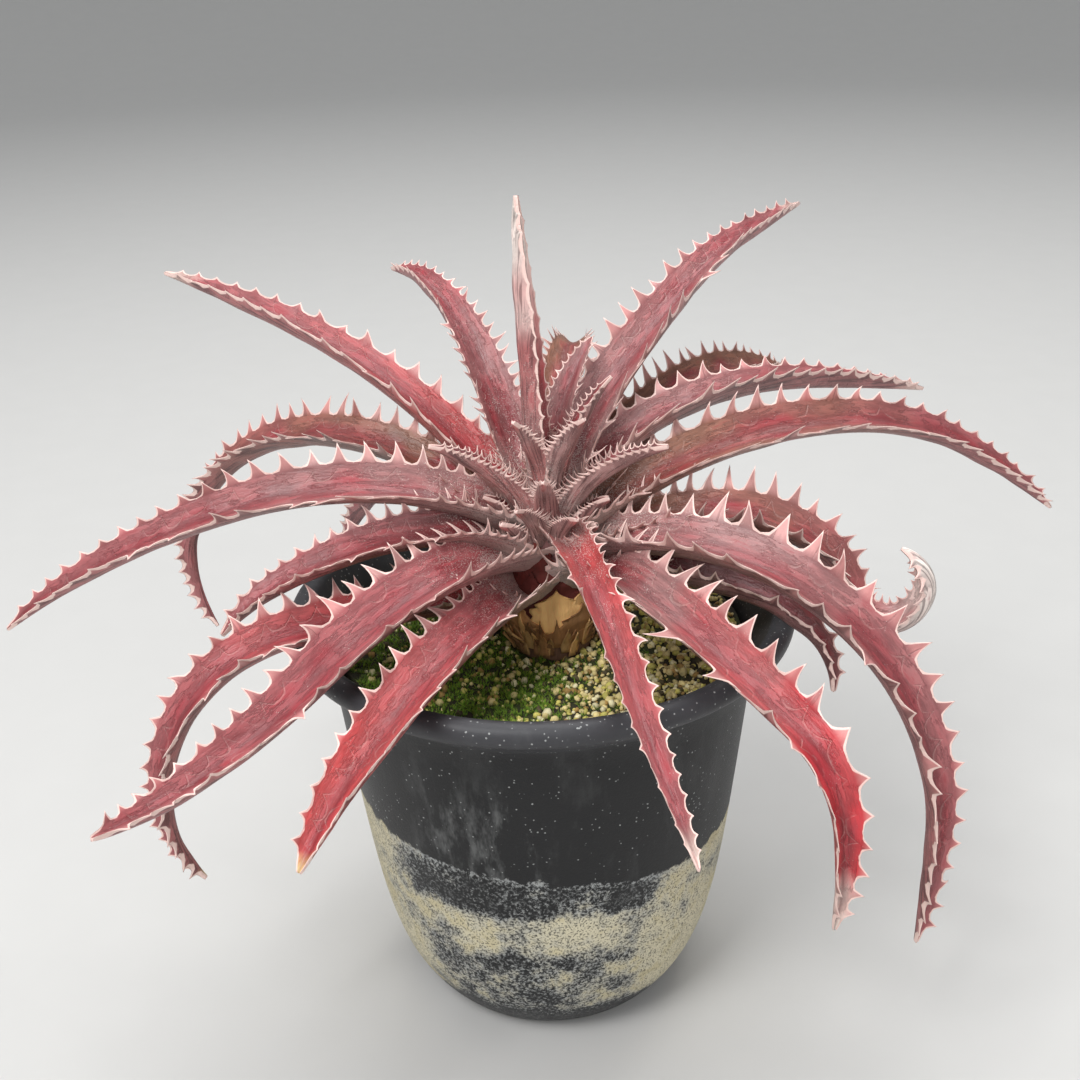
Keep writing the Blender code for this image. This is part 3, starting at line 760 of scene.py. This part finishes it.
def pot_profile(rim_diameter, wall):
    """Outer wall from its rounded foot to the flare, the rolled bead, and the inner wall to the floor."""
    low = np.linspace(0, 1, 26) ** 1.6 * FLARE_BOTTOM
    outer = np.stack((wall_radius(low), low), axis=1)
    outer[:2, 0] -= FOOT_ROUNDING
    bead = (rim_diameter / 2 - BEAD_RADIUS, BEAD_HEIGHT)
    flare = [(bead[0] - 0.6 * MM, bead[1] - BEAD_RADIUS - 0.2 * MM)]
    turn = np.radians(np.linspace(-70, 160, 26))
    roll = bead + BEAD_RADIUS * np.stack((np.cos(turn), np.sin(turn)), axis=1)
    high = low[::-1][low[::-1] > FLOOR + 1 * MM]
    inner = np.stack((wall_radius(high) - wall, high), axis=1)
    corner = [(float(wall_radius(FLOOR)) - wall - 0.8 * MM, FLOOR)]
    return np.vstack((outer, flare, roll, inner, corner))


def drilled(piece):
    """Cuts the round drain holes through the floor, evenly spaced, and keeps the mesh that results."""
    cutters = []
    for index in range(DRAIN_COUNT):
        turn = 2 * math.pi * (index + 0.5) / DRAIN_COUNT
        centre = (DRAIN_FROM_CENTRE * math.cos(turn), DRAIN_FROM_CENTRE * math.sin(turn))
        ring = turned([(DRAIN_RADIUS, -5 * MM), (DRAIN_RADIUS, 5 * MM)], 32, centre)
        cutter = add_piece(f"drain_{index}", *capped_tube(ring), piece.data.materials[0])
        cut = piece.modifiers.new(cutter.name, "BOOLEAN")
        cut.operation = "DIFFERENCE"
        cut.object = cutter
        cutters.append(cutter)
    bpy.context.view_layer.update()
    graph = bpy.context.evaluated_depsgraph_get()
    mesh = bpy.data.meshes.new_from_object(piece.evaluated_get(graph))
    piece.modifiers.clear()
    piece.data = mesh
    for cutter in cutters:
        bpy.data.objects.remove(cutter, do_unlink=True)


def soil_level(x, y):
    """The soil's top: a slight bowl, as in the frame, with crumbs of two sizes."""
    from_stem = np.hypot(x - STEM_X, y) / WALL_TOP_RADIUS
    flat = np.stack((x, y, x * 0), axis=-1)
    crumbs = 0.8 * lattice(flat, 3 * MM, 3) + 0.4 * lattice(flat, 1.3 * MM, 4)
    return SOIL_TOP + 2.5 * MM * from_stem**2 + 0.6 * MM * crumbs


def scattered(count, draws, inner, outer):
    """Even random places in a ring round the stem."""
    radius = np.sqrt(draws.uniform(inner**2, outer**2, count))
    turn = draws.uniform(0, 2 * math.pi, count)
    x = STEM_X * (1 - radius / outer) + radius * np.cos(turn)
    return x, radius * np.sin(turn)


def copies(shape, faces, places, sizes, draws):
    """One shape set down at each place, stretched unevenly, knobbled and turned by a random unit quaternion
    (w, q): the turn adds 2w(q x p) + 2q x (q x p) to each point p."""
    count = len(places)
    quaternion = draws.normal(size=(count, 4))
    quaternion /= np.linalg.norm(quaternion, axis=1, keepdims=True)
    stretch = draws.uniform(*GRIT_STRETCH, (count, 1, 3))
    knobs = 1 + draws.uniform(-GRIT_KNOBS, GRIT_KNOBS, (count, len(shape), 1))
    local = shape[None] * stretch * knobs * sizes[:, None, None]
    real, axis = quaternion[:, None, :1], quaternion[:, None, 1:]
    swing = 2 * np.cross(axis, local)
    points = local + real * swing + np.cross(axis, swing) + places[:, None]
    shift = (np.arange(count) * len(shape))[:, None, None]
    return points.reshape(-1, 3), (faces[None] + shift).reshape(-1, faces.shape[1])


def icosahedron():
    """Unit icosahedron: twelve points, at the ends of three golden rectangles, and twenty faces."""
    gold = (1 + math.sqrt(5)) / 2
    pairs = [(a, b) for b in (gold, -gold) for a in (-1, 1)]
    points = [(a, b, 0) for a, b in pairs] + [(0, a, b) for a, b in pairs] + [(b, 0, a) for a, b in pairs]
    faces = "0 11 5 0 5 1 0 1 7 0 7 10 0 10 11 1 5 9 5 11 4 11 10 2 10 7 6 7 1 8"
    faces += " 3 9 4 3 4 2 3 2 6 3 6 8 3 8 9 4 9 5 2 4 11 6 2 10 8 6 7 9 8 1"
    return np.array(points) / math.hypot(1, gold), np.array(faces.split(), int).reshape(-1, 3)


def with_alpha(colours):
    return np.concatenate((colours, np.ones(colours.shape[:-1] + (1,))), axis=-1)


def kept(piece, slot, *nodes):
    """Ties a piece to the body and lets it stand for nodes of the frame; the slot is not used."""
    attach(piece, "root")
    if nodes:
        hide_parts(*nodes)


class DYCKIA_OT_pot(bpy.types.Operator):
    """Make the pot: one turned shell with a rolled rim, a drained floor and weathered plastic"""

    bl_idname = "dyckia.pot"
    bl_label = "Pot"

    def execute(self, context):
        look = context.scene.dyckia_pot
        rings = turned(pot_profile(look.rim_diameter, WALL), POT_SIDES)
        vertices, quads, triangles = capped_tube(rings)
        vertices[-2:] = (0, 0, 0), (0, 0, FLOOR)
        pot = add_piece("pot_shell", vertices, quads, triangles, pot_material(look))
        drilled(pot)
        kept(pot, "pot", "pot")
        return {"FINISHED"}


def moss_share(x, y):
    """How mossy a place is: most at the left front, less towards the right, in patches."""
    patch = lattice(np.stack((x, y, x * 0), axis=-1), 9 * MM, 8)
    return np.clip(0.45 - x / (40 * MM) + 0.5 * patch, 0, 1)


def add_grit(look, edge):
    """Stones and crumbs in five tints, fewer where moss grows."""
    draws = np.random.default_rng(21)
    shades = np.array((look.stone, *GRIT_TINTS))
    shape, triangles = icosahedron()
    for name, amount, sizes, stand in GRIT:
        count = getattr(look, amount)
        x, y = scattered(count, draws, SOIL_HOLE + 0.5 * MM, edge - 1.2 * MM)
        size = draws.uniform(*sizes, count) * MM
        keep = draws.uniform(0, 1, count) > 0.75 * moss_share(x, y)
        x, y, size = x[keep], y[keep], size[keep]
        places = np.stack((x, y, soil_level(x, y) + stand * size), axis=1)
        vertices, faces = copies(shape, triangles, places, size, draws)
        kind = draws.choice(len(shades), len(x), p=GRIT_ODDS)
        tint = shades[kind] * draws.uniform(0.7, 1.15, (len(x), 1))
        tint = with_alpha(np.repeat(tint, len(shape), axis=0))
        finish = tinted_material(name + "_stone", 900.0, 0.7, 0.2 * MM)
        kept(add_piece(name, vertices, [], faces, finish, {"tint": tint}), "soil")


def add_moss(look, edge):
    """Sprigs of three-sided spikes that lean outwards on all sides, with paler tips."""
    draws = np.random.default_rng(5)
    x, y = scattered(look.sprigs * 3, draws, SOIL_HOLE + 0.5 * MM, edge - 0.8 * MM)
    keep = draws.uniform(0, 1, len(x)) < moss_share(x, y)
    x, y = np.repeat(x[keep], SPIKES_PER_SPRIG), np.repeat(y[keep], SPIKES_PER_SPRIG)
    count = len(x)
    lean = np.radians(draws.uniform(5, 65, count))
    turn = draws.uniform(0, 2 * math.pi, count)
    tall = draws.uniform(0.7, 1.9, count) * MM
    root = np.stack((x, y, soil_level(x, y) - 0.2 * MM), axis=1)
    aim = np.stack((np.sin(lean) * np.cos(turn), np.sin(lean) * np.sin(turn), np.cos(lean)), axis=1)
    sideways = np.stack((-np.sin(turn), np.cos(turn), turn * 0), axis=1)
    third = np.cross(aim, sideways)
    thick = 0.13 * MM
    thirds = np.radians((0, 120, 240))
    corners = [root + thick * (math.cos(a) * sideways + math.sin(a) * third) for a in thirds]
    vertices = np.stack((*corners, root + aim * tall[:, None]), axis=1).reshape(-1, 3)
    shift = (np.arange(count) * 4)[:, None, None]
    faces = (np.array([(0, 1, 3), (1, 2, 3), (2, 0, 3), (2, 1, 0)])[None] + shift).reshape(-1, 3)
    faces = outward(vertices, np.zeros((0, 4), int), faces)[1]
    light, hue = draws.uniform(0.5, 1.9, (count, 1)), draws.uniform(0.8, 1.2, (count, 3))
    tint = np.repeat(np.array(look.moss) * light * hue, 4, axis=0)
    tint[3::4] *= 1.6
    finish = tinted_material("moss_green", 1200.0, 0.55, 0.05 * MM)
    kept(add_piece("moss", vertices, [], faces, finish, {"tint": with_alpha(tint)}), "soil")


class DYCKIA_OT_soil(bpy.types.Operator):
    """Make the soil bed, its grit and crumbs, and the moss on it"""

    bl_idname = "dyckia.soil"
    bl_label = "Soil, Grit and Moss"

    def execute(self, context):
        look = context.scene.dyckia_soil
        edge = float(wall_radius(SOIL_TOP)) - SOIL_FROM_OUTSIDE
        side = np.linspace(FLOOR + 0.3 * MM, SOIL_TOP, 12)
        walls = turned(np.stack((wall_radius(side) - SOIL_FROM_OUTSIDE, side), axis=1), SOIL_SIDES)
        share = np.linspace(0, 1, 56)[:, None]
        radius = edge - 0.3 * MM + (SOIL_HOLE - edge) * share
        angle = np.linspace(0, 2 * math.pi, SOIL_SIDES, endpoint=False)
        x = STEM_X * share + radius * np.cos(angle)
        y = radius * np.sin(angle)
        top = np.stack((x, y, soil_level(x, y)), axis=-1)
        hole = turned([(SOIL_HOLE, STEM_BOTTOM)], SOIL_SIDES, (STEM_X, 0.0))
        bed = add_piece("soil_bed", *capped_tube(np.concatenate((walls, top, hole))), soil_material(look))
        kept(bed, "soil", "soil")
        add_grit(look, edge)
        add_moss(look, edge)
        return {"FINISHED"}


def scale(start, tall, facing, spread, flare, shape, seed):
    """A thin curved blade on the stem. Its half angle shrinks with the 2.4th power of the height, with a
    torn edge, and it stands off the stem by the flare times the height to the power 1.5."""
    rows, columns = shape
    rise = np.linspace(0, 1, rows)[:, None]
    across = np.append(np.linspace(-1, 1, columns), np.linspace(1, -1, columns))
    inside = np.repeat((0.0, 1.0), columns)
    torn = 1 + 0.3 * lattice(np.stack((rise * 12 + seed, rise * 0, rise * 0), axis=-1), 1.0, seed)
    angle = facing + across * spread * np.clip(1 - rise**2.4, 0.04, 1) * torn
    height = start + rise * tall * (1 - 0.12 * across**2)
    waves = lattice(np.stack((angle, height / (2 * MM), angle * 0), axis=-1), 0.5, 31)
    radius = stem_radius(height) + 0.5 * MM + flare * rise**1.5 - 0.4 * MM * inside + 0.25 * MM * waves
    return np.stack((STEM_X + radius * np.cos(angle), radius * np.sin(angle), height), axis=-1)


def add_sheaths(finish):
    """Clasping scales in a golden-angle spiral, and a skirt of loose fibres round the foot."""
    draws = np.random.default_rng(9)
    grids, tints = [], []
    for index in range(SCALE_COUNT):
        start = (LOWEST_SCALE + index * SCALE_STEP) * MM
        spread = math.radians(draws.uniform(34, 52))
        tall = draws.uniform(6, 10) * MM
        facing = index * GOLDEN_ANGLE + 0.6
        grids.append(scale(start, tall, facing, spread, 0.9 * MM, (14, 15), index))
        base = DARK if index < FIRST_PAPERY else PAPERY if index < FIRST_RUDDY else RUDDY
        tints.append(np.array(base) * draws.uniform(0.75, 1.2))
    for index in range(FIBRE_COUNT):
        start = draws.uniform(81.2, 85.5) * MM
        tall = draws.uniform(3.5, 7.5) * MM
        spread = math.radians(draws.uniform(3, 9))
        flare = draws.uniform(0.3, 2.6) * MM
        facing = draws.uniform(0, 2 * math.pi)
        grids.append(scale(start, tall, facing, spread, flare, (8, 4), 40 + index))
        tints.append(np.array((PAPERY, DARK)[index % 2]) * draws.uniform(0.45, 1.15))
    parts, shift = [], 0
    for grid, tint in zip(grids, tints):
        vertices, quads, triangles = capped_tube(grid)
        tint = np.broadcast_to(tint, vertices.shape)
        parts.append((vertices, quads + shift, triangles + shift, tint))
        shift += len(vertices)
    vertices, quads, triangles, tint = (np.vstack(part) for part in zip(*parts))
    values = {"tint": with_alpha(tint)}
    kept(add_piece("old_sheaths", vertices, quads, triangles, finish, values), "stem")


class DYCKIA_OT_stem(bpy.types.Operator):
    """Make the stem with its torn, papery old sheaths"""

    bl_idname = "dyckia.stem"
    bl_label = "Stem"

    def execute(self, context):
        look = context.scene.dyckia_soil
        finish = bark_material()
        heights = np.linspace(STEM_BOTTOM, STEM_TOP, 60)
        rings = turned(np.stack((stem_radius(heights), heights), axis=1), STEM_SIDES, (STEM_X, 0.0))
        axis = np.array((STEM_X, 0.0))
        rough = lattice(rings * (1, 1, 0.5), 2.2 * MM, 11) + 0.5 * lattice(rings, 0.9 * MM, 12)
        bare = np.clip((rings[..., 2] - 82 * MM) / (2 * MM), 0, 1)
        shrink = 1 - bare * (0.03 + 0.03 * rough)
        rings[..., :2] = axis + (rings[..., :2] - axis) * shrink[..., None]
        vertices, quads, triangles = capped_tube(rings)
        fresh = np.clip((vertices[:, 2:] - 95 * MM) / (6 * MM), 0, 1)
        tint = with_alpha(blend(look.bark, TINTS["mauve"], fresh))
        kept(add_piece("stem_core", vertices, quads, triangles, finish, {"tint": tint}), "stem", "stem")
        add_sheaths(finish)
        return {"FINISHED"}


def add_leaf(name, row, seed, look, finish, *nodes):
    """One leaf. Its two end points take the values of the rows beside them."""
    points, *grids = leaf_surface(row, look, seed)
    tint, marks, surface = (
        np.vstack((grid.reshape(-1, grid.shape[-1]), grid[0, :1], grid[-1, :1])) for grid in grids
    )
    values = {"tint": tint, "marks": marks}
    kept(add_piece(name, *capped_tube(points), finish, values, surface), "leaf", *nodes)


class DYCKIA_OT_leaves(bpy.types.Operator):
    """Make every leaf of the rosette with its rows of teeth, and the small leaves in its heart"""

    bl_idname = "dyckia.leaves"
    bl_label = "Leaves"

    def execute(self, context):
        look = context.scene.dyckia_leaf
        finish = leaf_material(look)
        for number, row in enumerate(LEAVES, start=1):
            add_leaf(f"blade_{number:02d}", row, number, look, finish, f"leaf_{number:02d}")
        for number, row in enumerate(HEART_LEAVES, start=1):
            add_leaf(f"heart_{number:02d}", row, HEART_SEED + number, look, finish)
        return {"FINISHED"}


def add_floor(look):
    """A round floor that bends up into a wall along an arc."""
    flat = [(radius, FLOOR_DROP) for radius in FLOOR_RINGS]
    turn = np.radians(np.linspace(0, FLOOR_BEND_END, 14)[1:])
    curve = [
        (FLOOR_RINGS[-1] + FLOOR_BEND * math.sin(a), FLOOR_BEND * (1 - math.cos(a)) + FLOOR_DROP)
        for a in turn
    ]
    rings = turned(flat + curve, FLOOR_SIDES)
    vertices = np.vstack((rings.reshape(-1, 3), [(0, 0, FLOOR_DROP)]))
    column = np.arange(FLOOR_SIDES)
    middle = np.stack((column * 0 + len(vertices) - 1, column, (column + 1) % FLOOR_SIDES), axis=1)
    quads = tube_faces(len(rings), FLOOR_SIDES)
    floor = add_piece("floor", vertices, quads, middle, floor_material(look))


def add_light(name, watts, size, place):
    """A square area light that faces the plant, with level top and bottom edges."""
    light = bpy.data.lights.new(name, "AREA")
    light.energy = watts
    light.size = size
    lamp = bpy.data.objects.new(name, light)
    away = Vector(place) - Vector(LIT_POINT)
    lamp.matrix_world = Matrix.Translation(place) @ away.to_track_quat("Z", "Y").to_matrix().to_4x4()
    bpy.context.scene.collection.objects.link(lamp)


def add_camera(context):
    """The fitted camera: level and facing +Y, then pitched about X and rolled about its own axis."""
    camera = bpy.data.cameras.new("camera")
    camera.sensor_width = SENSOR_WIDTH
    camera.lens = FOCAL_WIDTHS * SENSOR_WIDTH
    camera.clip_start = 10 * MM
    stand = bpy.data.objects.new("camera", camera)
    pitched = Matrix.Rotation(math.radians(90 + CAMERA_PITCH), 4, "X")
    rolled = Matrix.Rotation(math.radians(CAMERA_ROLL), 4, "Z")
    stand.matrix_world = Matrix.Translation(CAMERA_PLACE) @ pitched @ rolled
    context.scene.collection.objects.link(stand)
    context.scene.camera = stand
    context.scene.view_settings.view_transform = "Standard"


class DYCKIA_OT_stage(bpy.types.Operator):
    """Set the pale floor, the soft studio light and the camera"""

    bl_idname = "dyckia.stage"
    bl_label = "Stage"

    def execute(self, context):
        look = context.scene.dyckia_stage
        add_floor(look)
        for name, source, share, size, place in LIGHTS:
            add_light(name, getattr(look, source) * share, size, place)
        world = bpy.data.worlds.new("studio_air")
        world.use_nodes = True
        background = world.node_tree.nodes["Background"]
        background.inputs["Color"].default_value = AIR_TINT
        background.inputs["Strength"].default_value = look.air
        context.scene.world = world
        add_camera(context)
        return {"FINISHED"}


class DYCKIA_PT_panel(bpy.types.Panel):
    """Steps and sizes of the potted dyckia"""

    bl_idname = "DYCKIA_PT_panel"
    bl_label = "Potted Dyckia"
    bl_space_type = "VIEW_3D"
    bl_region_type = "UI"
    bl_category = "Dyckia"

    def draw(self, context):
        for step in OPERATORS:
            self.layout.operator(step.bl_idname)
        for name in GROUPS:
            look = getattr(context.scene, name)
            box = self.layout.box()
            for key in look.__annotations__:
                box.prop(look, key)


OPERATORS = (DYCKIA_OT_pot, DYCKIA_OT_soil, DYCKIA_OT_stem, DYCKIA_OT_leaves, DYCKIA_OT_stage)
GROUPS = {
    "dyckia_leaf": DyckiaLeafLook,
    "dyckia_pot": DyckiaPotLook,
    "dyckia_soil": DyckiaSoilLook,
    "dyckia_stage": DyckiaStageLook,
}


def register():
    for kind in (*GROUPS.values(), *OPERATORS, DYCKIA_PT_panel):
        bpy.utils.register_class(kind)
    for name, group in GROUPS.items():
        setattr(bpy.types.Scene, name, PointerProperty(type=group))


def unregister():
    for name in GROUPS:
        delattr(bpy.types.Scene, name)
    for kind in reversed((*GROUPS.values(), *OPERATORS, DYCKIA_PT_panel)):
        bpy.utils.unregister_class(kind)


def main():
    register()
    bpy.ops.dyckia.pot()
    bpy.ops.dyckia.soil()
    bpy.ops.dyckia.stem()
    bpy.ops.dyckia.leaves()
    bpy.ops.dyckia.stage()


if __name__ == "__main__":
    main()
